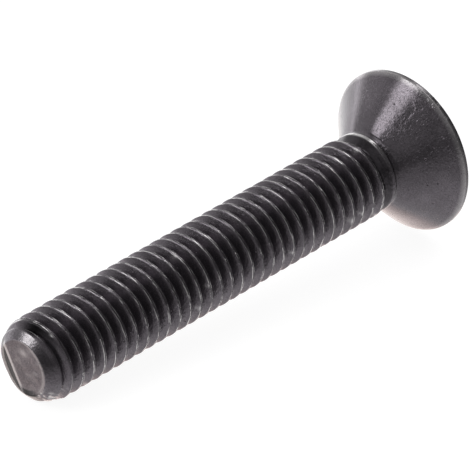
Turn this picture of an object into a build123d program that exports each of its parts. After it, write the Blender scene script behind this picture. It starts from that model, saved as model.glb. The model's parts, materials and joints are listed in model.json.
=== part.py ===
from build123d import *
import math
import os

# Countersunk socket screw, M5 x 30, in millimetres.
# It is turned and threaded upright along +Z, with the middle of its point at the origin and its head on
# top, and at the end it is laid down as it rests on a table: the head towards +X, the axis in the XZ plane.

# Driving dimensions
overall_length = 29.65
thread_diameter = 4.85
thread_pitch = 0.8
head_diameter = 9.67
head_rim_height = 0.31
head_cone_angle = 90.0
hex_across_flats = 3.03
hex_depth = 2.3

# Thread: an ISO metric V groove, right-handed
flank_angle = 60.0
root_flat = thread_pitch / 8
thread_depth = 0.465
groove_overshoot = 0.05
groove_start_angle = -90.0
groove_start_height = 0.03
groove_full_turns = 32.05
run_out_turns = 0.42
run_out_clearance = 0.02
first_crest_height = 1.35

# Point: a rounded ring around a flat sheared face, with a sloping facet broken off its edge
point_face_diameter = 3.28
point_ring_diameter = 4.12
point_ring_height = 0.33
point_taper_height = 1.1
facet_distance = 0.87
facet_slope = 17.0
facet_direction = 65.8

# Between the thread and the head: a V relief that the groove runs into, a narrow collar, and the neck
thread_end_from_top = 4.22
relief_diameter = 3.96
relief_from_top = 4.02
collar_diameter = 4.68
collar_start_from_top = 3.5
collar_end_from_top = 3.3
neck_diameter = 4.46
neck_start_from_top = 3.15

# Roundings of the turned outline
point_edge_radius = 0.09
relief_radius = 0.06
collar_edge_radius = 0.08
neck_radius = 0.35
rim_edge_radius = 0.09
top_edge_radius = 0.12

# Socket: a hexagon with a lead-in at its mouth and a drilled cone at its bottom
socket_drill_angle = 118.0
socket_mouth_diameter = 3.6
socket_mouth_angle = 90.0

# The seams of the turned surfaces lie this far round from the bottom of the lying screw, in degrees, so that it
# rests on a flat of its mesh and not on a corner
seam_direction = 3.0

# Sizes worked out from those above
thread_radius = thread_diameter / 2
root_radius = thread_radius - thread_depth
head_radius = head_diameter / 2
neck_from_top = head_rim_height + (head_radius - neck_diameter / 2) / math.tan(math.radians(head_cone_angle / 2))
neck_height = overall_length - neck_from_top
collar_middle_height = overall_length - (collar_start_from_top + collar_end_from_top) / 2


def from_top(distance):
    """Height of what lies this far below the top of the head."""
    return overall_length - distance


def turned(*outline):
    """A solid turned about the screw's axis, from its half outline as (radius, height, rounding) corners."""
    face = make_face(Plane.XZ * Polyline(*[corner[:2] for corner in outline], close=True))
    for radius, height, rounding in outline:
        if rounding > 0:
            corner = face.vertices().sort_by_distance((radius, 0, height))[0]
            face = fillet(corner, rounding)
    return Rot(0, 0, seam_direction) * revolve(face, axis=Axis.Z)


def groove_section(centre_height):
    """The V groove's section at angle zero, with a flat at its root, and open a little past the crests."""
    open_radius = thread_radius + groove_overshoot
    half_root = root_flat / 2
    half_open = half_root + (open_radius - root_radius) * math.tan(math.radians(flank_angle / 2))
    corners = (
        (root_radius, 0, centre_height - half_root),
        (open_radius, 0, centre_height - half_open),
        (open_radius, 0, centre_height + half_open),
        (root_radius, 0, centre_height + half_root),
    )
    return make_face(Polyline(*corners, close=True))


def full_groove():
    """The groove at its full depth, from in front of the point to where it starts to run out."""
    path = Helix(
        pitch=thread_pitch,
        height=thread_pitch * groove_full_turns,
        radius=root_radius,
        center=(0, 0, groove_start_height),
    )
    groove = sweep(groove_section(groove_start_height), path=path, is_frenet=True)
    return Rot(0, 0, groove_start_angle) * groove


def run_out_groove():
    """The last part of a turn, where the groove climbs on a cone and fades away in the relief."""
    height = thread_pitch * run_out_turns
    climb = thread_depth + run_out_clearance
    cone_angle = math.degrees(math.atan(climb / height))
    path = Helix(
        pitch=thread_pitch / math.cos(math.radians(cone_angle)),
        height=height,
        radius=root_radius,
        cone_angle=cone_angle,
    )
    groove = sweep(groove_section(0), path=path, is_frenet=True)
    end_height = groove_start_height + thread_pitch * groove_full_turns
    end_angle = groove_start_angle + 360 * groove_full_turns
    return Pos(0, 0, end_height) * Rot(0, 0, end_angle) * groove


def shank():
    """The threaded shank with its tapered point and its relief, up to the middle of the collar."""
    rod = turned(
        (0, 0, 0),
        (thread_radius, 0, 0),
        (thread_radius, collar_middle_height, 0),
        (0, collar_middle_height, 0),
    )
    rod -= full_groove()
    rod -= run_out_groove()
    clear_radius = thread_radius + 1
    envelope = turned(
        (0, 0, 0),
        (point_face_diameter / 2, 0, point_edge_radius),
        (point_ring_diameter / 2, point_ring_height, 0),
        (thread_radius, point_taper_height, 0),
        (clear_radius, point_taper_height, 0),
        (clear_radius, from_top(thread_end_from_top), 0),
        (thread_radius, from_top(thread_end_from_top), 0),
        (relief_diameter / 2, from_top(relief_from_top), relief_radius),
        (collar_diameter / 2, from_top(collar_start_from_top), collar_edge_radius),
        (collar_diameter / 2, collar_middle_height, 0),
        (0, collar_middle_height, 0),
    )
    return rod & envelope


def head():
    """The upper half of the collar, the neck, and the countersunk head with its short upright rim."""
    return turned(
        (0, collar_middle_height, 0),
        (collar_diameter / 2, collar_middle_height, 0),
        (collar_diameter / 2, from_top(collar_end_from_top), collar_edge_radius),
        (neck_diameter / 2, from_top(neck_start_from_top), collar_edge_radius),
        (neck_diameter / 2, neck_height, neck_radius),
        (head_radius, from_top(head_rim_height), rim_edge_radius),
        (head_radius, overall_length, top_edge_radius),
        (0, overall_length, 0),
    )


def hex_socket():
    """The space of the hexagon socket, which a 3 mm key fits."""
    top = Pos(0, 0, overall_length)
    hexagon = extrude(top * RegularPolygon(hex_across_flats / 2, 6, major_radius=False), amount=-hex_depth)
    drill_radius = hex_across_flats / 2
    drill_height = drill_radius / math.tan(math.radians(socket_drill_angle / 2))
    floor = from_top(hex_depth)
    drill = turned((0, floor - drill_height, 0), (drill_radius, floor, 0), (0, floor, 0))
    mouth_radius = socket_mouth_diameter / 2
    mouth_depth = mouth_radius / math.tan(math.radians(socket_mouth_angle / 2))
    mouth = turned((0, from_top(mouth_depth), 0), (mouth_radius, overall_length, 0), (0, overall_length, 0))
    return hexagon + drill + mouth


def facet_cutter():
    """The wedge broken off one side of the point's face."""
    size = 2 * thread_diameter
    block = Pos(size / 2, 0, -size / 2) * Box(size, size, size)
    wedge = Pos(facet_distance, 0, 0) * Rot(0, -facet_slope, 0) * block
    return Rot(0, 0, facet_direction) * wedge


def standing_screw():
    """The whole screw, upright on its point."""
    screw = shank() + head()
    screw -= hex_socket()
    screw -= facet_cutter()
    return screw


def laid_down(screw):
    """The screw lying as it comes to rest, on its head's rim and its first whole crest."""
    rim_height = from_top(head_rim_height)
    lean = math.degrees(math.atan2(head_radius - thread_radius, rim_height - first_crest_height))
    lying = Rot(0, 90 - lean, 0) * screw
    box = lying.bounding_box()
    return Pos(-box.center().X, -box.center().Y, -box.min.Z) * lying


os.makedirs("parts", exist_ok=True)
screw = laid_down(standing_screw())
screw.label = "screw"
export_step(screw, "parts/screw.step")
print("screw:", len(screw.solids()), "solid, volume", round(screw.volume, 2), "mm3, valid", screw.is_valid)
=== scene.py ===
# %% [markdown]
# # A blackened countersunk socket screw
#
# The real piece is one blank of steel: a head is forged on its end, the thread is rolled between two dies,
# the point is left as the wire was sheared, and the whole is blackened in a hot bath of salts. The
# blackening is a skin a thousandth of a millimetre thick. It hides no form, so every bump, nick and scratch
# of the steel shows in what the surface mirrors.
#
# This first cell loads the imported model. It gives the size and the place that everything below must keep.

# %% Load the frame
import json
import math
from collections import namedtuple

import bmesh
import bpy
import numpy as np
from mathutils import Matrix, Vector, noise


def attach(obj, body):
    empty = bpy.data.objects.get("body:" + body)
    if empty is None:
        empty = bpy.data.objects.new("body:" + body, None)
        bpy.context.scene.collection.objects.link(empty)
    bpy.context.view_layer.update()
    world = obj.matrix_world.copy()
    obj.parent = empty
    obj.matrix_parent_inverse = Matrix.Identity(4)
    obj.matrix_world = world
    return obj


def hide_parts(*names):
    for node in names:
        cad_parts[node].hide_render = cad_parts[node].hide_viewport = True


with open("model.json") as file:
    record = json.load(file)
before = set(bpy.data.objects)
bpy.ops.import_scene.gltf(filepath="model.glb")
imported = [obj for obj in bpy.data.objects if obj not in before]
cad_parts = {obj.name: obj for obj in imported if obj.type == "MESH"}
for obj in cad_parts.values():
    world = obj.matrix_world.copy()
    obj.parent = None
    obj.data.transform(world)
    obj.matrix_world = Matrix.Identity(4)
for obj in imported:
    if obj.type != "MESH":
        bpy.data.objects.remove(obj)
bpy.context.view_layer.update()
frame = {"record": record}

# %% [markdown]
# ## Where the screw lies
#
# The screw lies on the table on its head's rim and its first thread, so its axis is a few degrees off
# level. It is far easier to model it standing up, as it is turned, and to lay it down at the end. The
# record's mounts say where the head's top and the point's middle are, so the standing model and the turn
# that lays it down both come from them. Lengths are in millimetres while modelling, because a screw is
# drawn in millimetres. Directions round the axis are in degrees: 0 is the underside of the lying screw, 90
# faces +Y, 180 is its top and 270 faces -Y.

# %% The screw's own frame
MM = 0.001
mounts = {mount["name"]: mount for mount in frame["record"]["mounts"]}
head_centre = Vector(mounts["hex_socket"]["pos_m"])
point_centre = Vector(mounts["thread"]["pos_m"])
axis = (head_centre - point_centre).normalized()
across = Vector((0, 1, 0))
down = across.cross(axis)

laid_down = Matrix((down, across, axis)).transposed().to_4x4()
laid_down.translation = point_centre

length = (head_centre - point_centre).length / MM
thread_radius = mounts["thread"]["dims"]["r_mm"]
thread_top = mounts["thread"]["dims"]["length_mm"]
head_radius = mounts["countersink_seat"]["dims"]["r_mm"]
seat_height = mounts["countersink_seat"]["dims"]["length_mm"]
hexagon_radius = mounts["hex_socket"]["dims"]["r_mm"]
hexagon_depth = mounts["hex_socket"]["dims"]["length_mm"]
print("length", round(length, 3), "thread radius", thread_radius, "head radius", head_radius, "mm")

# %% [markdown]
# ## The outline without its thread
#
# A turned part is drawn as half of its outline: pairs of radius and height above the point. Sharp corners
# mirror nothing, and no real edge is sharp, so every corner gets a small round. `rounded` swaps a corner
# for a few points of an arc that touches both of its sides. Heights near the head are measured down from
# its top, as a drawing of a countersunk screw gives them.

# %% Rounded corners
def rounded(corners, steps=4):
    """The outline through (radius, height, rounding) corners, with an arc at each that has a rounding."""
    outline = []
    for number, (radius, height, rounding) in enumerate(corners):
        here = Vector((radius, height))
        if rounding == 0:
            outline.append(here)
            continue
        before = (Vector(corners[number - 1][:2]) - here).normalized()
        after = (Vector(corners[number + 1][:2]) - here).normalized()
        half_angle = before.angle(after) / 2
        centre = here + (before + after).normalized() * rounding / math.sin(half_angle)
        start = (here + before * rounding / math.tan(half_angle) - centre).normalized()
        end = (here + after * rounding / math.tan(half_angle) - centre).normalized()
        for step in range(steps + 1):
            outline.append(centre + rounding * start.slerp(end, step / steps))
    return [(place.x, place.y) for place in outline]


sample_corner = rounded([(0, 0, 0), (1, 0, 0.1), (1, 1, 0)])
print("one rounded corner:", [(round(radius, 3), round(height, 3)) for radius, height in sample_corner])

# %% The half outlines
face_radius = 1.64
ring_radius = 2.06
ring_height = 0.33
taper_height = 1.1
relief_radius = 1.98
relief_height = length - 4.02
collar_radius = 2.34
collar_bottom = length - 3.5
collar_top = length - 3.3
collar_middle = (collar_bottom + collar_top) / 2
neck_bottom = length - 3.15
rim_height = length - 0.31
neck_radius = head_radius - seat_height
neck_height = rim_height - seat_height
mouth_radius = 1.8
mouth_depth = 0.1

shank_outline = rounded([
    (0, 0, 0),
    (face_radius, 0, 0.09),
    (ring_radius, ring_height, 0.25),
    (thread_radius, taper_height, 0),
    (thread_radius, thread_top, 0.03),
    (relief_radius, relief_height, 0.06),
    (collar_radius, collar_bottom, 0.08),
    (collar_radius, collar_middle, 0),
])
head_outline = rounded([
    (collar_radius, collar_middle, 0),
    (collar_radius, collar_top, 0.08),
    (neck_radius, neck_bottom, 0.08),
    (neck_radius, neck_height, 0.35),
    (head_radius, rim_height, 0.09),
    (head_radius, length, 0.12),
    (mouth_radius, length, 0.03),
    (mouth_radius - mouth_depth, length - mouth_depth, 0),
])
print("outline points:", len(shank_outline), "shank,", len(head_outline), "head")

# %% [markdown]
# ## The thread as a height field
#
# Seen from the axis, no part of this thread hides another, so the whole shank is one function: the radius
# at an angle and a height. It is the least of the plain outline and the V of the groove beside it, and a
# smooth minimum rounds the lip where the two meet. The groove rises by one pitch a turn, and over its last
# part of a turn its root climbs out to the surface, as the rolling die leaves it.
#
# A rolled crest is never whole. Steel flows up both flanks, and where the two lips meet a fine seam stays
# open. Handling then dents the lips. So each lip gets its own random wear along the thread, and there are
# seeded nicks, each with its turn, half length and depth, and the side of the crest that it is on: -1 for
# the point's and 1 for the head's. The larger nicks of the first turns are listed one by one.

# %% Places on the thread
pitch = 0.8
thread_depth = 0.465
root_radius = thread_radius - thread_depth
root_widening = 0.01
root_half = pitch / 16 + root_widening
crest_lean = 0.01
flank_half_angle = 30
flank_rise = 1 / math.tan(math.radians(flank_half_angle))
start_angle = -90.0
start_height = 0.03
full_turns = 32.05
run_out_turns = 0.42
turn_length = 2 * math.pi * thread_radius


def crest_place(turn, height):
    """Turns along the thread of the nearest crest, and the distance up (mm) from its middle."""
    crest = turn + np.round((height - start_height) / pitch - 0.5 - turn)
    return crest, height - start_height - pitch * (crest + 0.5)


print("the groove is", thread_depth, "mm deep and", round(full_turns * turn_length), "mm long")

# %% Wear along the lips
wear_start = -2
wear_turns = 40


def ragged(seed, spacing):
    """A seeded line of random values from 0 to 1, a new one each spacing (mm) along the thread."""
    values = np.random.default_rng(seed).random(int(wear_turns * turn_length / spacing))
    numbers = np.arange(len(values))
    return lambda crest: np.interp((crest - wear_start) * turn_length / spacing, numbers, values)


tip_lip_wear = ragged(11, 0.35)
head_lip_wear = ragged(12, 0.28)
print("wear of the two lips after a turn:", tip_lip_wear(1).round(2), head_lip_wear(1).round(2))

# %% Nicks in the lips
nick_count = 60
nick_half_lengths = (0.1, 0.22)
nick_depths = (0.02, 0.05)
nick_offset = 0.06
nick_half_width = 0.05
nick_draw = np.random.default_rng(31)
Nick = namedtuple("Nick", "turn half_length depth side")
nicks = []
for _ in range(nick_count):
    nick_turn = nick_draw.uniform(1, full_turns)
    half_length = nick_draw.uniform(*nick_half_lengths)
    nick_depth = nick_draw.uniform(*nick_depths)
    nicks.append(Nick(nick_turn, half_length, nick_depth, nick_draw.choice((-1, 1))))
nicks += [Nick(0.19, 0.3, 0.07, 1), Nick(0.22, 0.12, 0.05, -1), Nick(0.84, 0.12, 0.06, -1)]
nicks += [Nick(1.17, 0.2, 0.08, -1), Nick(2.18, 0.14, 0.06, 1), Nick(3.14, 0.1, 0.05, 1)]


def nick_share(nick, crest, above):
    """How far into a nick each place on a crest lies, from 0 to 1."""
    along = (crest - nick.turn) * turn_length / nick.half_length
    beside = (above - nick_offset * nick.side) / nick_half_width
    return np.exp(-along ** 2 - beside ** 2)


print("nicks:", len(nicks), "the deepest", max(nick.depth for nick in nicks), "mm")

# %% Radius of the shank
seam_middle = 0.035
seam_depth = 0.022
seam_half_width = 0.032
lip_blend = 0.035
lip_wear = 0.014
run_out_clearance = 0.02
unformed_radius = 2.15
forming_band = 0.1


def smooth_least(first, second, blend):
    """The smaller of two arrays, rounded where they differ by less than the blend."""
    return np.minimum(first, second) - np.maximum(blend - np.abs(first - second), 0) ** 2 / (4 * blend)


def groove_radius(above, root=root_radius):
    """Radius of the groove's flank at distances (mm) from the middle of a crest that leans to the head."""
    return root + np.maximum(pitch / 2 - np.abs(above - crest_lean) - root_half, 0) * flank_rise


def plain_radius(height):
    """Radius of the shank's outline, without its groove, at an array of heights (mm)."""
    radii, heights = zip(*shank_outline[1:])
    return np.interp(height, heights, radii)


def shank_radius(turn, height):
    """Radius of the shank at turns (from the start) and heights (mm), both arrays."""
    plain = plain_radius(height)
    crest, above = crest_place(turn, height)
    groove_turn = crest + (above > 0)
    past_end = np.clip((groove_turn - full_turns) / run_out_turns, 0, 1)
    root = root_radius + past_end * (thread_depth + run_out_clearance)
    groove = groove_radius(above, root)
    groove = np.where(groove_turn > full_turns + run_out_turns, np.inf, groove)
    formed = np.clip((plain - unformed_radius) / forming_band, 0, 1)
    seam = seam_depth * np.clip(1 - np.abs(above - seam_middle) / seam_half_width, 0, 1)
    wear = lip_wear * np.where(above < 0, tip_lip_wear(crest), head_lip_wear(crest))
    crest_top = plain - formed * (seam + wear)
    for nick in nicks:
        crest_top = crest_top - nick.depth * nick_share(nick, crest, above)
    return smooth_least(crest_top, groove, lip_blend)


sample_turn = np.array([1.25])
sample_height = start_height + pitch * (sample_turn + 0.5)
print("radius of the crest after 1.25 turns:", shank_radius(sample_turn, sample_height).round(3), "mm")

# %% [markdown]
# ## One skin of rows
#
# The mesh is a stack of rows with the same number of columns. Rows of the threaded part follow the helix,
# so each lip is one clean line of edges, and the end of a turn joins the start of the next. Rows that would
# pass either end of the thread are held at that height, where they fall on one ring and are merged. The
# rest are plain rings. A row's phase is its height above the middle of the groove below its crest. Rows lie
# close together on the lips, where light turns fast, and far apart on the flat flanks. On the tapered first
# turn the groove is narrower, and the rows move apart with its lips.

# %% Rows of points
columns = 162
turns = np.arange(columns) / columns
points = []
faces = []


def add_row(radius, turn, height):
    """Adds one row of points and returns its first index."""
    first = len(points)
    angle = np.radians(360 * np.asarray(turn) + start_angle)
    radius = np.broadcast_to(radius, angle.shape)
    height = np.broadcast_to(height, angle.shape)
    points.extend(zip(radius * np.cos(angle), radius * np.sin(angle), height))
    return first


def add_shank_ring(height):
    """Adds one level ring of the shank."""
    heights = np.full(columns, height)
    return add_row(shank_radius(turns, heights), turns, heights)


def join(rings):
    """Faces between each plain ring and the next, wound to face outwards."""
    for low, high in zip(rings, rings[1:]):
        for column in range(columns):
            after = (column + 1) % columns
            faces.append((low + column, low + after, high + after, high + column))


print("each row has", columns, "points, one every", round(turn_length / columns, 3), "mm")

# %% Rows of the thread
thread_foot = 0.36
tip_side_rows = [0.287, 0.316, 0.33, 0.343, 0.36, 0.382]
head_side_rows = [0.43, 0.459, 0.48, 0.492, 0.508, 0.522]
root_rows = (root_half + crest_lean, pitch - root_half + crest_lean)
phases = [root_rows[0]] + tip_side_rows + [pitch / 2] + head_side_rows + [root_rows[1]]
taper_rise = (thread_radius - ring_radius) / (taper_height - ring_height) / flank_rise
furthest_shift = 0.2


def row_heights(lap, phase):
    """Heights of one row of the thread, which stays beside its lip where the taper narrows the groove."""
    straight = start_height + pitch * (lap + turns) + phase
    if phase in root_rows or phase == pitch / 2:
        return straight
    side = math.copysign(1, phase - pitch / 2)
    shift = taper_rise * np.maximum(taper_height - straight, 0) / (1 + side * taper_rise)
    return straight + side * np.minimum(shift, furthest_shift)


thread_rows = []
for lap in range(-1, math.ceil(thread_top / pitch) + 1):
    for phase in phases:
        heights = np.clip(row_heights(lap, phase), thread_foot, thread_top)
        thread_rows.append(add_row(shank_radius(turns, heights), turns, heights))

for number, row in enumerate(thread_rows[:-1]):
    upper = thread_rows[number + 1]
    for column in range(columns - 1):
        faces.append((row + column, row + column + 1, upper + column + 1, upper + column))
    if number + len(phases) + 1 < len(thread_rows):
        next_row = thread_rows[number + len(phases)]
        next_upper = thread_rows[number + len(phases) + 1]
        faces.append((row + columns - 1, next_row, next_upper, upper + columns - 1))
print("thread rows:", len(thread_rows), "points so far:", len(points))

# %% [markdown]
# ## The sheared point
#
# The wire is parted between two blades, which leave a rough flat face, and one side of it has broken off
# along a straight line. The ring around the face is what the rolling dies have drawn over it. The face is
# made level here, of rings from its middle to its edge, and the facet and the dents come later, when all
# points are in place.

# %% The point and its face
hub_radius = 0.05
face_edge = 1.5
face_rings = 20
point_gap = 0.035


def add_shank_rings(heights, gap):
    """Adds level rings from each height up to the next, about a gap (mm) apart, without the last height."""
    added = []
    for low, high in zip(heights, heights[1:]):
        steps = max(1, round((high - low) / gap))
        for step in range(steps):
            added.append(add_shank_ring(low + (high - low) * step / steps))
    return added


rings = [add_row(radius, turns, 0.0) for radius in np.linspace(hub_radius, face_edge, face_rings)]
foot_heights = [height for radius, height in shank_outline[1:] if radius > face_edge and height < thread_foot]
rings += add_shank_rings(foot_heights + [thread_foot], point_gap)
rings.append(add_shank_ring(thread_foot))
join(rings)
hub_face = range(rings[0], rings[0] + columns)
faces.append(tuple(reversed(hub_face)))
print("rings of the point:", len(rings))

# %% [markdown]
# ## The neck and the head
#
# Between thread and head the dies leave a V relief and a narrow collar. The cone seats in a countersunk
# hole, and the short upright rim keeps its edge from being knife sharp. The socket is punched: a hexagon, a
# drilled cone at its bottom and a lead-in at its mouth. The rings of the relief and the collar still ask the
# thread's function for their radius, because the groove ends between them.

# %% The relief and the collar
relief_gap = 0.05
slack = 0.001
shank_heights = [height for _, height in shank_outline if height >= thread_top - slack]
rings = add_shank_rings([thread_top] + shank_heights, relief_gap)
print("rings of the relief and the collar:", len(rings))

# %% The neck and the head
head_gap = 0.3
for low, high in zip(head_outline, head_outline[1:]):
    steps = max(1, round(math.dist(low, high) / head_gap))
    for step in range(steps):
        share = step / steps
        radius, height = (start + (end - start) * share for start, end in zip(low, high))
        rings.append(add_row(radius, turns, height))
rings.append(add_row(head_outline[-1][0], turns, head_outline[-1][1]))
print("rings up to the mouth of the socket:", len(rings))

# %% The socket
wall_top = 0.3
wall_rings = 5
drill_half_angle = 59
drill_shares = (0, 0.33, 0.66, 0.97)
from_wall = (360 * turns + start_angle) % 60 - 30
wall = hexagon_radius / np.cos(np.radians(from_wall))
rings.append(add_row(wall, turns, length - (mouth_radius - wall)))
for depth in np.linspace(wall_top, hexagon_depth, wall_rings):
    rings.append(add_row(wall, turns, length - depth))
drill_depth = hexagon_radius / math.tan(math.radians(drill_half_angle))
for share in drill_shares:
    rings.append(add_row(hexagon_radius * (1 - share), turns, length - hexagon_depth - drill_depth * share))
join(rings)
drill_tip_face = range(rings[-1], rings[-1] + columns)
faces.append(tuple(drill_tip_face))
print("rings from relief to socket:", len(rings), "points:", len(points))

# %% [markdown]
# ## Break and dent the point
#
# All points are now in one array, so the facet and the dents of the point are a few lines of arithmetic on
# it. The facet lifts every point of the face that lies below its slope, and a smooth maximum rounds the fold
# between the two. A little noise dents the sheared face, because no blade leaves a true plane. A blow has
# also bruised the lower edge of the point: random dents lie close together there.

# %% The broken facet
points = np.array(points)
point_top = 0.6
facet_distance = 0.87
facet_slope = math.tan(math.radians(17))
facet_direction = math.radians(65.8)
fold_blend = 0.055
towards_facet = np.array([math.cos(facet_direction), math.sin(facet_direction), 0])
beyond_fold = points @ towards_facet - facet_distance
facet_height = beyond_fold * facet_slope
at_point = points[:, 2] < point_top
lifted = -smooth_least(-points[:, 2], -facet_height, fold_blend)
print("facet points lifted:", int((at_point & (facet_height > 0)).sum()))

# %% The dents of the sheared face
dented_radius = 1.62
dent_fade = 0.15
mean_dent = 0.008
broad_dent, broad_scale = 0.012, 2.2
fine_dent, fine_scale, fine_offset = 0.006, 7, Vector((5, 0, 0))
from_axis = np.hypot(points[:, 0], points[:, 1])
for index in np.flatnonzero(at_point & (from_axis < dented_radius)):
    place = Vector(points[index] * (1, 1, 0))
    dents = broad_dent * noise.noise(place * broad_scale)
    dents += fine_dent * noise.noise(place * fine_scale + fine_offset)
    edge_fade = np.clip((dented_radius - from_axis[index]) / dent_fade, 0, 1)
    lifted[index] += (mean_dent + dents) * edge_fade
points[at_point, 2] = np.maximum(lifted, 0)[at_point]
print("highest place of the point's face:", points[at_point & (from_axis < dented_radius), 2].max().round(3))

# %% The bruise under the point
bruise_direction = 317
bruise_half_width = 15
bruise_top = 1.5
bruise_fade = 0.3
bruise_scale = 4.5
bruise_depth = 0.05


def hump(value, middle, half_width):
    """1 at the middle, down to about a third at the half width, and soon to nothing beyond it."""
    return np.exp(-((value - middle) / half_width) ** 2)


round_axis = (np.degrees(np.arctan2(points[:, 1], points[:, 0])) + 360) % 360
near_point = np.clip((bruise_top - points[:, 2]) / bruise_fade, 0, 1)
bruise = near_point * (from_axis > dented_radius) * hump(round_axis, bruise_direction, bruise_half_width)
for index in np.flatnonzero(bruise > 0.02):
    bruise[index] *= max(0, 2 * noise.noise(Vector(points[index]) * bruise_scale) + 0.1)
bruise = np.minimum(bruise, 1)
points[:, :2] *= (1 - bruise_depth * bruise / np.maximum(from_axis, 1))[:, None]
print("bruised points:", int((bruise > 0.3).sum()))

# %% [markdown]
# ## What the finishes need to know
#
# The same array tells the finishes about each point. `thread_place` holds the distance along the thread and
# the distance up from the crest's middle. `surface` holds how much the blackening has been rubbed off, with
# painted highlights in a few places; how much darker it is, which is painted shade except on the broken
# facet;
# and how coarse the steel is under it. Each of the three is a sum of soft patches, and a patch is a share,
# times masks for its height, its distance from the axis and its direction round it.

# %% Places on the thread, for the finishes
turn_here = (round_axis - start_angle) % 360 / 360
crest, above = crest_place(turn_here, points[:, 2])
from_lip = groove_radius(above) - plain_radius(points[:, 2])
on_thread = points[:, 2] < thread_top + 0.01
thread_place = np.stack([crest * turn_length, above, np.zeros(len(points))], axis=1)
print("thread place from", thread_place.min(axis=0).round(2), "to", thread_place.max(axis=0).round(2))

# %% Where the skin is worn, and where highlights are painted
def between(value, low, high, fade):
    """1 between two values, fading to 0 just outside them."""
    return np.clip((value - low) / fade + 1, 0, 1) * np.clip((high - value) / fade + 1, 0, 1)


height = points[:, 2]
on_face = height < 0.1
at_ring = (height < 0.35) & (from_axis > face_edge)
fold_worn = 0.45 * between(beyond_fold, -0.1, 0.09, 0.06) * on_face
smudge = 0.3 * hump(points[:, 0], -0.95, 0.22) * hump(points[:, 1], -0.1, 0.3) * on_face
face_edge_worn = 0.25 * hump(from_axis, 1.52, 0.1) * between(round_axis, 215, 310, 20) * on_face
# Painted highlights: bare steel only where the light's highlight falls on the point's ring, the first lip and
# the collar.
ring_painted_highlight = 0.25 * at_ring * hump(round_axis, 193, 18)
first_lip_painted_highlight = 0.9 * hump(from_lip, 0, 0.03) * (height < 0.62) * hump(round_axis, 194, 14)
collar_painted_highlight = 0.8 * between(height, collar_bottom, collar_top, 0.04) * hump(round_axis, 170, 42)
rim_worn = 0.45 * hump(height, rim_height, 0.05) * (from_axis > head_radius - 0.1)
nick_worn = 0.8 * sum(nick_share(nick, crest, above) for nick in nicks) * on_thread
skin_worn_and_highlight = fold_worn + smudge + face_edge_worn + ring_painted_highlight + rim_worn + nick_worn
skin_worn_and_highlight = np.clip(skin_worn_and_highlight + first_lip_painted_highlight + collar_painted_highlight + 0.8 * bruise, 0, 1)
print("mean wear of the skin:", skin_worn_and_highlight.mean().round(3))

# %% Where the skin is darker or carries painted shade, and where it is coarse
darkest = 0.93
# Painted shade: the relief groove under the last crest is darkened where that crest shades it.
relief_painted_shade = 0.55 * between(height, thread_top + 0.02, collar_bottom - 0.04, 0.05)
# Painted shade: the head's cone grows darker towards the neck.
cone_painted_shade = 0.15 * np.clip((rim_height - height) / seat_height, 0, 1) * (height > neck_bottom)
# Painted shade: two dark patches on the point's ring, one on its side and one on its underside.
ring_painted_shade = at_ring * (0.5 * hump(round_axis, 243, 22) + 0.8 * hump(round_axis, 345, 18))
# Painted shade: the first turn's taper is blackened where it would mirror the left softbox.
taper_painted_shade = 0.9 * between(height, 0.45, 1.05, 0.1) * hump(round_axis, 188, 24)
from_top = (round_axis + 180) % 360
# Painted shadow: a dark crescent along the underside of the sheared face's edge.
face_painted_shadow = 0.8 * between(from_axis, 1.35, 1.7, 0.1) * hump(from_top, 175, 22) * (height < 0.2)
# The broken facet is made darker, and its finish rougher and less metallic.
on_facet = 0.85 * between(beyond_fold, 0.14, np.inf, 0.06) * (height < 0.3)
# Painted shade: the top band of the head's rim is darkened where it would mirror the back softbox.
rim_painted_shade = 0.6 * (height > rim_height + 0.05) * hump(round_axis, 200, 35)
skin_dark_and_shade = relief_painted_shade + cone_painted_shade + rim_painted_shade + ring_painted_shade + taper_painted_shade + face_painted_shadow + on_facet
skin_dark_and_shade = np.clip(skin_dark_and_shade, 0, darkest)

coarse_head = 0.08 + hump(round_axis, 221, 15) + 0.4 * hump(round_axis, 256, 9)
coarse_thread = 0.3 * at_ring + hump(round_axis, 275, 30)
skin_coarse = np.where(height > neck_bottom, coarse_head, coarse_thread)
print("mean depth and coarseness of the skin:", skin_dark_and_shade.mean().round(3), skin_coarse.mean().round(3))

# %% [markdown]
# ## Lay the screw down
#
# The points and faces become one mesh. Points that fell on each other are merged, which closes the skin,
# and an edge is only shaded sharp where its faces meet at a real corner. Then the skin is laid down in the
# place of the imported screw.

# %% Make the mesh
surface = np.stack([skin_worn_and_highlight, skin_dark_and_shade, skin_coarse], axis=1)
mesh = bpy.data.meshes.new("screw_skin")
mesh.from_pydata([Vector(point) * MM for point in points], [], faces)
for name, values in (("thread_place", thread_place), ("surface", surface)):
    mesh.attributes.new(name, "FLOAT_VECTOR", "POINT").data.foreach_set("vector", values.ravel())
skin = bpy.data.objects.new("screw_skin", mesh)
bpy.context.scene.collection.objects.link(skin)
print("points and faces before merging:", len(points), len(faces))

# %% Merge, sort and lay down the faces
merge_distance = 1e-7
sharp_angle = math.radians(38)
sheared_top = 0.5
sheared_radius = 1.6
sheared_level = 0.8


def finish_number(middle, normal):
    """Which finish covers a face: 0 the thread's, 1 the head's or 2 the sheared point's."""
    if middle.z < sheared_top and middle.xy.length < sheared_radius and abs(normal.z) > sheared_level:
        return 2
    return 1 if middle.z > thread_top else 0


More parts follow.
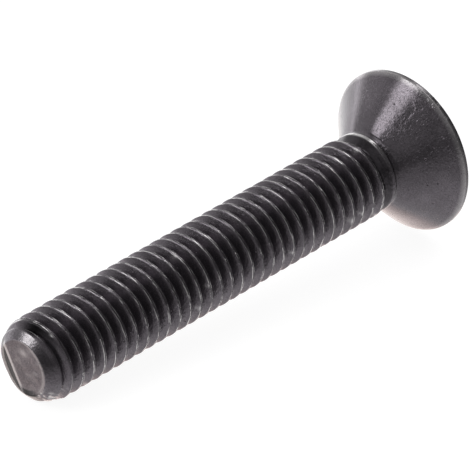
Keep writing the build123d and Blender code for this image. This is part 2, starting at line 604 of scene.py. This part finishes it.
work = bmesh.new()
work.from_mesh(mesh)
bmesh.ops.remove_doubles(work, verts=work.verts, dist=merge_distance)
bmesh.ops.dissolve_degenerate(work, edges=work.edges, dist=merge_distance)
for face in work.faces:
    face.material_index = finish_number(face.calc_center_median() / MM, face.normal)
    face.smooth = True
for edge in work.edges:
    edge.smooth = edge.calc_face_angle(0) < sharp_angle
work.transform(laid_down)
open_edges = [edge for edge in work.edges if len(edge.link_faces) != 2]
triangles = sum(len(face.verts) - 2 for face in work.faces)
print("triangles", triangles, "open edges", len(open_edges))
print("volume", round(work.calc_volume() / MM ** 3, 2), "mm3")
work.to_mesh(mesh)
work.free()
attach(skin, "root")
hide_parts("screw")

# %% [markdown]
# ## Small tools for shader nodes
#
# A material is a graph of nodes. Written out one by one they take a page, so a short class adds a node and
# feeds its sockets in one call. A value can be a plain number or the output of another node. A node group is
# a small graph with its own inputs and outputs, which is built once and placed wherever it is needed.

# %% A node helper
class Nodes:
    """Adds nodes to a tree, each fed with plain values or the outputs of other nodes."""

    def __init__(self, tree):
        self.tree = tree

    def feed(self, socket, value):
        """Links another node's output to a socket, or sets the socket's plain value."""
        if isinstance(value, bpy.types.NodeSocket):
            self.tree.links.new(value, socket)
        else:
            socket.default_value = value

    def add(self, kind, values=(), **settings):
        """Adds a node, sets its properties and feeds its inputs, given in order or by name."""
        node = self.tree.nodes.new(kind)
        for name, setting in settings.items():
            setattr(node, name, setting)
        pairs = values.items() if isinstance(values, dict) else enumerate(values)
        for place, value in pairs:
            self.feed(node.inputs[place], value)
        return node

    def math(self, operation, *values):
        return self.add("ShaderNodeMath", values, operation=operation).outputs[0]

    def dot(self, first, second):
        return self.add("ShaderNodeVectorMath", (first, second), operation="DOT_PRODUCT").outputs["Value"]

    def stretch(self, vector, scale):
        return self.add("ShaderNodeVectorMath", (vector, scale), operation="MULTIPLY").outputs[0]

    def step(self, value, low, high, at_low=0.0, at_high=1.0):
        """A smooth step from one value to another."""
        given = (value, low, high, at_low, at_high)
        return self.add("ShaderNodeMapRange", given, interpolation_type="SMOOTHSTEP").outputs[0]

    def band(self, value, edges):
        """1 between the two middle edges, fading to 0 at the first and the last."""
        start, full, still_full, end = edges
        return self.math("MULTIPLY", self.step(value, start, full), self.step(value, end, still_full))

    def noise(self, vector, scale, detail=2.0, roughness=0.5):
        given = {"Vector": vector, "Scale": scale, "Detail": detail, "Roughness": roughness}
        return self.add("ShaderNodeTexNoise", given).outputs["Fac"]

    def mix(self, share, first, second):
        return self.add("ShaderNodeMix", {0: share, 2: first, 3: second}).outputs[0]

    def mix_colour(self, share, first, second):
        node = self.tree.nodes.new("ShaderNodeMix")
        node.data_type = "RGBA"
        self.feed(node.inputs["Factor"], share)
        self.feed(node.inputs["A"], first)
        self.feed(node.inputs["B"], second)
        return node.outputs["Result"]


# %% Node groups
def new_group(name, inputs, outputs):
    """A node group with named inputs (name, kind, default) and outputs (name, kind)."""
    tree = bpy.data.node_groups.new(name, "ShaderNodeTree")
    for socket_name, kind, default in inputs:
        socket = tree.interface.new_socket(name=socket_name, in_out="INPUT", socket_type=kind)
        if default is not None:
            socket.default_value = default
    for socket_name, kind in outputs:
        tree.interface.new_socket(name=socket_name, in_out="OUTPUT", socket_type=kind)
    given = tree.nodes.new("NodeGroupInput").outputs
    result = tree.nodes.new("NodeGroupOutput").inputs
    print("node group", name)
    return Nodes(tree), given, result


# %% [markdown]
# ## What the finishes share
#
# Three finishes cover the screw: the blackened thread, the blackened head and the sheared point. What they
# share is built once, as node groups, and each finish places them with its own values.
#
# `skin_relief` is the steel under the blackening: a soft unevenness like orange peel, and small sparse
# pits. `blackening` gives the colour: a faintly violet black that drifts a little from patch to patch, is
# blackest where it is darkened, by thicker blackening in pits and the seam and by painted shade, and turns
# to bare steel where it is worn and where a highlight is painted. `scratches` are short fine lines that all
# run one way. So far only the head has them, but any finish could place that group too. Heights are in
# metres, so they can be read as real depths.

# %% The skin's relief
smallest_pit = 0.06
pit_spread = 0.16
relief, given, result = new_group(
    "skin_relief",
    [
        ("Vector", "NodeSocketVector", None),
        ("Peel Height", "NodeSocketFloat", 3e-6),
        ("Peel Scale", "NodeSocketFloat", 5000.0),
        ("Pit Depth", "NodeSocketFloat", 8e-6),
        ("Pit Scale", "NodeSocketFloat", 2600.0),
        ("Pit Share", "NodeSocketFloat", 0.3),
    ],
    [("Height", "NodeSocketFloat"), ("Pits", "NodeSocketFloat")],
)
peel = relief.noise(given["Vector"], given["Peel Scale"], detail=3, roughness=0.65)
cells = relief.add("ShaderNodeTexVoronoi", {"Vector": given["Vector"], "Scale": given["Pit Scale"]})
chance = relief.add("ShaderNodeSeparateColor", (cells.outputs["Color"],))
chosen = relief.math("LESS_THAN", chance.outputs["Red"], given["Pit Share"])
reach = relief.math("MULTIPLY_ADD", chance.outputs["Green"], pit_spread, smallest_pit)
shape = relief.step(cells.outputs["Distance"], 0.0, reach, 1.0, 0.0)
pits = relief.math("MULTIPLY", chosen, shape)
peel_height = relief.math("MULTIPLY", peel, given["Peel Height"])
pit_height = relief.math("MULTIPLY", pits, given["Pit Depth"])
relief.feed(result["Height"], relief.math("SUBTRACT", peel_height, pit_height))
relief.feed(result["Pits"], pits)

# %% Scratches
scratching, given, result = new_group(
    "scratches",
    [
        ("Vector", "NodeSocketVector", None),
        ("Turned", "NodeSocketVector", (0, 0, 0)),
        ("Scale", "NodeSocketFloat", 9000.0),
        ("Share", "NodeSocketFloat", 0.3),
    ],
    [("Mask", "NodeSocketFloat")],
)
rotation = {"Vector": given["Vector"], "Rotation": given["Turned"]}
turned = scratching.add("ShaderNodeVectorRotate", rotation, rotation_type="EULER_XYZ").outputs[0]
stretched = scratching.stretch(turned, (0.1, 1, 1))
streaks = scratching.noise(stretched, given["Scale"], detail=1)
lowest = scratching.math("MULTIPLY_ADD", given["Share"], -0.3, 0.75)
highest = scratching.math("ADD", lowest, 0.05)
scratching.feed(result["Mask"], scratching.step(streaks, lowest, highest))

# %% The blackening's colour
skin_black = (0.150, 0.135, 0.151, 1)
bare_steel = (0.74, 0.72, 0.72, 1)
colouring, given, result = new_group(
    "blackening",
    [
        ("Vector", "NodeSocketVector", None),
        ("Black", "NodeSocketColor", skin_black),
        ("Steel", "NodeSocketColor", bare_steel),
        ("Worn And Highlight", "NodeSocketFloat", 0.0),
        ("Dark And Shade", "NodeSocketFloat", 0.0),
    ],
    [("Color", "NodeSocketColor")],
)
drift = colouring.noise(given["Vector"], 700.0, detail=3)
speckle = colouring.noise(given["Vector"], 14000.0, detail=2, roughness=0.6)
lighter = colouring.step(drift, 0.3, 0.7, 0.9, 1.1)
lighter = colouring.math("MULTIPLY", lighter, colouring.step(speckle, 0.3, 0.7, 0.75, 1.25))
# The darkening input blackens the colour: thicker blackening in pits and the seam, and painted shade.
lighter = colouring.math("MULTIPLY", lighter, colouring.math("SUBTRACT", 1.0, given["Dark And Shade"]))
black = colouring.add(
    "ShaderNodeVectorMath", {0: given["Black"], "Scale": lighter}, operation="SCALE").outputs[0]
colouring.feed(result["Color"], colouring.mix_colour(given["Worn And Highlight"], black, given["Steel"]))

# %% [markdown]
# ## The finishes
#
# Blackening is neither a metal nor a paint: it mirrors an eighth of the light, like a very dark metal, and
# a little light sinks in and comes back grey. A Metallic a little under 1 gives both from one colour. On
# the thread, the lips are rubbed along hair lines that follow the helix, so their noise is stretched along
# `thread_place`. The seam between the lips wanders a little, and the lips follow it. In one stretch near the
# point they are hardly rubbed, and before the crest is fully formed there are no lips at all.

# %% Helpers for a finish
def finish(name, roughness, metallic=0.86):
    """A new material's shader, nodes and object coordinates; the skin's wear with painted highlights,
    darkening with painted shade, and coarseness.
    """
    material = bpy.data.materials.new(name)
    material.use_nodes = True
    shader = material.node_tree.nodes["Principled BSDF"]
    shader.inputs["Metallic"].default_value = metallic
    shader.inputs["Roughness"].default_value = roughness
    nodes = Nodes(material.node_tree)
    coordinates = nodes.add("ShaderNodeTexCoord").outputs["Object"]
    surface_here = nodes.add("ShaderNodeAttribute", attribute_name="surface").outputs["Vector"]
    worn_and_highlight, dark_and_shade, coarse = nodes.add("ShaderNodeSeparateXYZ", (surface_here,)).outputs
    mesh.materials.append(material)
    print("finish", len(mesh.materials) - 1, name)
    return shader, nodes, coordinates, worn_and_highlight, dark_and_shade, coarse


def use_group(nodes, name, values):
    """Places a shared group in a material and feeds it."""
    node = nodes.tree.nodes.new("ShaderNodeGroup")
    node.node_tree = bpy.data.node_groups[name]
    for place, value in values.items():
        nodes.feed(node.inputs[place], value)
    return node.outputs


def bump(nodes, shader, height):
    """Bends the shader's normals by a height in metres."""
    bent = nodes.add("ShaderNodeBump", {"Height": height, "Distance": 1.0, "Strength": 1.0})
    nodes.feed(shader.inputs["Normal"], bent.outputs["Normal"])


def roughen(nodes, shader, pits, extra):
    """Makes the pits rougher than the rest of the skin."""
    skin_roughness = shader.inputs["Roughness"].default_value
    nodes.feed(shader.inputs["Roughness"], nodes.math("MULTIPLY_ADD", pits, extra, skin_roughness))


# %% Where the lips of the thread are rubbed
shader, nodes, coordinates, worn_and_highlight, dark_and_shade, coarse = finish("blackened_thread", 0.15, 0.8)
place = nodes.add("ShaderNodeAttribute", attribute_name="thread_place").outputs["Vector"]
parts = nodes.add("ShaderNodeSeparateXYZ", (place,)).outputs
along, above_crest = parts["X"], parts["Y"]
seam_wander = 0.1
wander = nodes.noise(nodes.stretch(place, (0.5, 0.0, 0.0)), 1.0, detail=3)
above_seam = nodes.math("SUBTRACT", above_crest, seam_middle + seam_wander / 2)
beside_seam = nodes.math("MULTIPLY_ADD", wander, seam_wander, above_seam)
hair = nodes.noise(nodes.stretch(place, (1.3, 14.0, 0.0)), 1.0, detail=3, roughness=0.6)
broken = nodes.step(hair, 0.5, 0.56)
tip_lip = nodes.band(beside_seam, (-0.11, -0.09, -0.05, -0.03))
head_lip = nodes.band(beside_seam, (0.015, 0.03, 0.06, 0.075))
lip = nodes.math("MAXIMUM", tip_lip, head_lip)
hardly_rubbed = nodes.band(along, (12.3, 13.2, 19.0, 21.0))
lip = nodes.math("MULTIPLY", lip, nodes.math("MULTIPLY_ADD", hardly_rubbed, -0.8, 1.0))
crest_formed = nodes.step(along, 7.5, 9.5)
lip = nodes.math("MULTIPLY", lip, crest_formed)
rubbed_and_highlight = nodes.math("MULTIPLY", lip, nodes.math("MULTIPLY_ADD", broken, 0.9, 0.05))
rubbed_and_highlight = nodes.math("MAXIMUM", rubbed_and_highlight, worn_and_highlight)
from_seam = nodes.math("ABSOLUTE", beside_seam)
seam = nodes.math("MULTIPLY", nodes.step(from_seam, 0.035, 0.015, 0.0, 0.5), crest_formed)
dark_and_shade = nodes.math("MAXIMUM", dark_and_shade, seam)
print("nodes for the rubbed lips:", len(nodes.tree.nodes))

# %% The blackened thread
relief_here = use_group(nodes, "skin_relief", {
    "Vector": coordinates, "Peel Height": nodes.math("MULTIPLY_ADD", coarse, 3e-5, 8e-6),
    "Peel Scale": 6500.0, "Pit Depth": 4e-5, "Pit Scale": 2600.0,
    "Pit Share": nodes.math("MULTIPLY_ADD", coarse, 0.45, 0.1)})
dark_and_shade = nodes.math("MAXIMUM", dark_and_shade, nodes.math("MULTIPLY", relief_here["Pits"], 0.8))
colour = use_group(nodes, "blackening", {"Vector": coordinates, "Worn And Highlight": rubbed_and_highlight, "Dark And Shade": dark_and_shade})
nodes.feed(shader.inputs["Base Color"], colour["Color"])
roughen(nodes, shader, relief_here["Pits"], 0.25)
bump(nodes, shader, relief_here["Height"])

# %% The blackened head
shader, nodes, coordinates, worn_and_highlight, dark_and_shade, coarse = finish("blackened_head", 0.18)
clumps = nodes.step(nodes.noise(coordinates, 1600.0, detail=3, roughness=0.65), 0.42, 0.62, 0.35, 1.3)
rough_patches = nodes.math("MULTIPLY", coarse, clumps)
relief_here = use_group(nodes, "skin_relief", {
    "Vector": coordinates, "Peel Height": nodes.math("MULTIPLY", rough_patches, 3.4e-5), "Peel Scale": 6000.0,
    "Pit Depth": 5e-5, "Pit Scale": 2200.0, "Pit Share": 0.45})
lines = use_group(nodes, "scratches", {
    "Vector": coordinates, "Turned": (0.3, 0.2, 0.5), "Scale": 14000.0, "Share": 0.35})
scratch_depth = nodes.math("MULTIPLY", lines["Mask"], 1.2e-5)
dark_and_shade = nodes.math("MAXIMUM", dark_and_shade, nodes.math("MULTIPLY", relief_here["Pits"], 0.5))
colour = use_group(nodes, "blackening", {"Vector": coordinates, "Worn And Highlight": worn_and_highlight, "Dark And Shade": dark_and_shade})
nodes.feed(shader.inputs["Base Color"], colour["Color"])
roughen(nodes, shader, relief_here["Pits"], 0.2)
bump(nodes, shader, nodes.math("SUBTRACT", relief_here["Height"], scratch_depth))

# %% The sheared point
shader, nodes, coordinates, worn_and_highlight, dark_and_shade, _ = finish("sheared_steel", 0.38)
sheared_black = (0.118, 0.105, 0.114, 1)
mottle = nodes.noise(coordinates, 1800.0, detail=4, roughness=0.6)
relief_here = use_group(nodes, "skin_relief", {
    "Vector": coordinates, "Peel Height": 2.2e-5, "Peel Scale": 3000.0, "Pit Depth": 1.2e-5,
    "Pit Scale": 3000.0, "Pit Share": 0.35})
rubbed_and_highlight = nodes.math("MAXIMUM", worn_and_highlight, nodes.step(mottle, 0.45, 0.7, 0.0, 0.12))
rubbed_and_highlight = nodes.math("MULTIPLY", rubbed_and_highlight, nodes.math("SUBTRACT", 1.0, dark_and_shade))
colour = use_group(nodes, "blackening", {
    "Vector": coordinates, "Black": sheared_black, "Worn And Highlight": rubbed_and_highlight, "Dark And Shade": dark_and_shade})
nodes.feed(shader.inputs["Base Color"], colour["Color"])
# The point's darkened places, its painted shadow and its facet, also turn less metallic and rougher.
nodes.feed(shader.inputs["Metallic"], nodes.step(dark_and_shade, 0.0, 0.8, 0.86, 0.1))
nodes.feed(shader.inputs["Roughness"], nodes.step(dark_and_shade, 0.0, 0.8, 0.38, 0.62))
bump(nodes, shader, relief_here["Height"])

# %% [markdown]
# ## The camera
#
# A long lens from a quarter of a metre looks along the point towards the head, and a little down on it.

# %% The camera
def direction(azimuth, elevation):
    """The unit vector at an azimuth from +X and an elevation, in degrees."""
    azimuth = math.radians(azimuth)
    elevation = math.radians(elevation)
    return Vector((
        math.cos(elevation) * math.cos(azimuth),
        math.cos(elevation) * math.sin(azimuth),
        math.sin(elevation),
    ))


target = Vector((1.308, 0.338, 4.116)) * MM
towards_camera = direction(-135.79, 26.75)
view_distance = 246.44 * MM
camera_data = bpy.data.cameras.new("camera")
camera_data.lens = 347.07
camera_data.sensor_width = 36
camera_data.clip_start = 0.01
camera = bpy.data.objects.new("camera", camera_data)
camera.location = target + towards_camera * view_distance
camera.rotation_euler = (-towards_camera).to_track_quat("-Z", "Y").to_euler()
bpy.context.scene.collection.objects.link(camera)
bpy.context.scene.camera = camera
print("camera at", [round(value, 4) for value in camera.location])

# %% [markdown]
# ## The studio
#
# Blackened steel shows almost nothing of its own colour: what is seen is the room it mirrors. So the room
# is designed first. A table top light tent has a white ground, a white backdrop behind, a softbox to the
# left, one high at the back and a little light through its roof, and it is dark where the camera looks in.
# Its ground is a little warm where it mirrors the backdrop. Real lamps have hard edges and one brightness,
# so the softboxes are painted on the world instead, where each side can fade as softly as its diffuser
# does, and its sides draw in as it rises. To the camera itself the world is plain white.

# %% The room's walls and ground
world = bpy.data.worlds.new("studio")
world.use_nodes = True
bpy.context.scene.world = world
bpy.context.scene.view_settings.view_transform = "Standard"
room = Nodes(world.node_tree)
looking = room.add("ShaderNodeTexCoord").outputs["Generated"]
upward = room.dot(looking, (0, 0, 1))
elevation = room.math("ARCSINE", upward)
backdrop_direction = direction(75, 0)
near_wall_direction = direction(-150, 40)
towards_backdrop = room.dot(looking, backdrop_direction)

far_walls = room.step(towards_backdrop, 0.2, 0.8, 0.13, 0.75)
near_wall = room.step(room.dot(looking, near_wall_direction), 0.75, 1.0, 0.0, 0.22)
ceiling = room.step(upward, 0.91, 0.97, 0.0, 0.95)
walls = room.math("ADD", far_walls, room.math("ADD", near_wall, ceiling))
backdrop_side = room.step(towards_backdrop, 0.8, 0.95)
backdrop = room.math("MULTIPLY", backdrop_side, room.step(upward, 0.25, 0.0))
walls = room.math("ADD", walls, room.math("MULTIPLY", backdrop, 1.6))
near_ground = room.math("MULTIPLY_ADD", room.math("ABSOLUTE", upward), 0.75, 0.2)
ground = room.mix(room.step(towards_backdrop, -0.3, 0.3), near_ground, 1.0)
ground = room.math("ADD", ground, room.step(towards_backdrop, 0.2, 0.5, 0.0, 0.45))
tent = room.mix(room.step(upward, 0.02, -0.05), walls, ground)
print("the tent without its softboxes has", len(world.node_tree.nodes), "nodes")

# %% The softboxes
squeeze_at_horizon = 0.66
squeeze_rise = 0.8


def softbox(middle, right, left, low, high, brightness):
    """A softbox; each edge is (full, gone), in degrees from the middle's azimuth or from the horizon."""
    ahead = room.dot(looking, direction(middle, 0))
    beside = room.dot(looking, direction(middle + 90, 0))
    azimuth = room.math("ARCTAN2", beside, ahead)
    squeeze = room.math("MULTIPLY_ADD", elevation, squeeze_rise, squeeze_at_horizon)
    azimuth = room.math("MULTIPLY", azimuth, squeeze)
    shade = brightness
    for value, (full, gone) in ((azimuth, right), (azimuth, left), (elevation, low), (elevation, high)):
        side = room.step(value, math.radians(full), math.radians(gone), 1.0, 0.0)
        shade = room.math("MULTIPLY", side, shade)
    return shade


left_light = softbox(150, (-14.5, -17.5), (10, 26), (21, 18.5), (44, 60), 3.05)
back_light = softbox(17, (-10, -22), (7, 18), (18, 10), (60, 70), 2.3)
lights = room.math("ADD", left_light, back_light)
light_path = room.add("ShaderNodeLightPath")
seen = room.mix(light_path.outputs["Is Camera Ray"], room.math("ADD", tent, lights), 1.0)
background = world.node_tree.nodes["Background"]
plain_white = (1, 1, 1, 1)
warm_white = (1, 0.88, 0.84, 1)
warm_ground = room.math("MULTIPLY", room.step(towards_backdrop, 0.15, 0.4), room.step(upward, -0.3, -0.7))
room.feed(background.inputs["Color"], room.mix_colour(warm_ground, plain_white, warm_white))
room.feed(background.inputs["Strength"], seen)
print("the room has", len(world.node_tree.nodes), "nodes")

# %% [markdown]
# ## The table
#
# A sheet of white paper carries the screw and takes its shadow. It glows for the camera alone, which makes
# it white in the render and adds no light to the screw. Mirrored rays pass through it to the room's painted
# ground, which darkens towards the camera as a real table does.

# %% The paper
table_half = 1.0
paper_grey = (0.3, 0.3, 0.3, 1)
paper_glow = 0.91
paper_mesh = bpy.data.meshes.new("paper")
corners = [(x * table_half, y * table_half, 0) for x, y in ((-1, -1), (1, -1), (1, 1), (-1, 1))]
paper_mesh.from_pydata(corners, [], [(0, 1, 2, 3)])
paper_sheet = bpy.data.objects.new("paper", paper_mesh)
bpy.context.scene.collection.objects.link(paper_sheet)
paper_sheet.visible_glossy = False
paper = bpy.data.materials.new("paper")
paper.use_nodes = True
paper_shader = paper.node_tree.nodes["Principled BSDF"]
paper_shader.inputs["Base Color"].default_value = paper_grey
paper_shader.inputs["Roughness"].default_value = 1
paper_shader.inputs["Specular IOR Level"].default_value = 0
paper_shader.inputs["Emission Color"].default_value = plain_white
paper_nodes = Nodes(paper.node_tree)
paper_path = paper_nodes.add("ShaderNodeLightPath")
glow = paper_nodes.math("MULTIPLY", paper_path.outputs["Is Camera Ray"], paper_glow)
paper_nodes.feed(paper_shader.inputs["Emission Strength"], glow)
paper_mesh.materials.append(paper)
print("paper", 2 * table_half, "m wide")
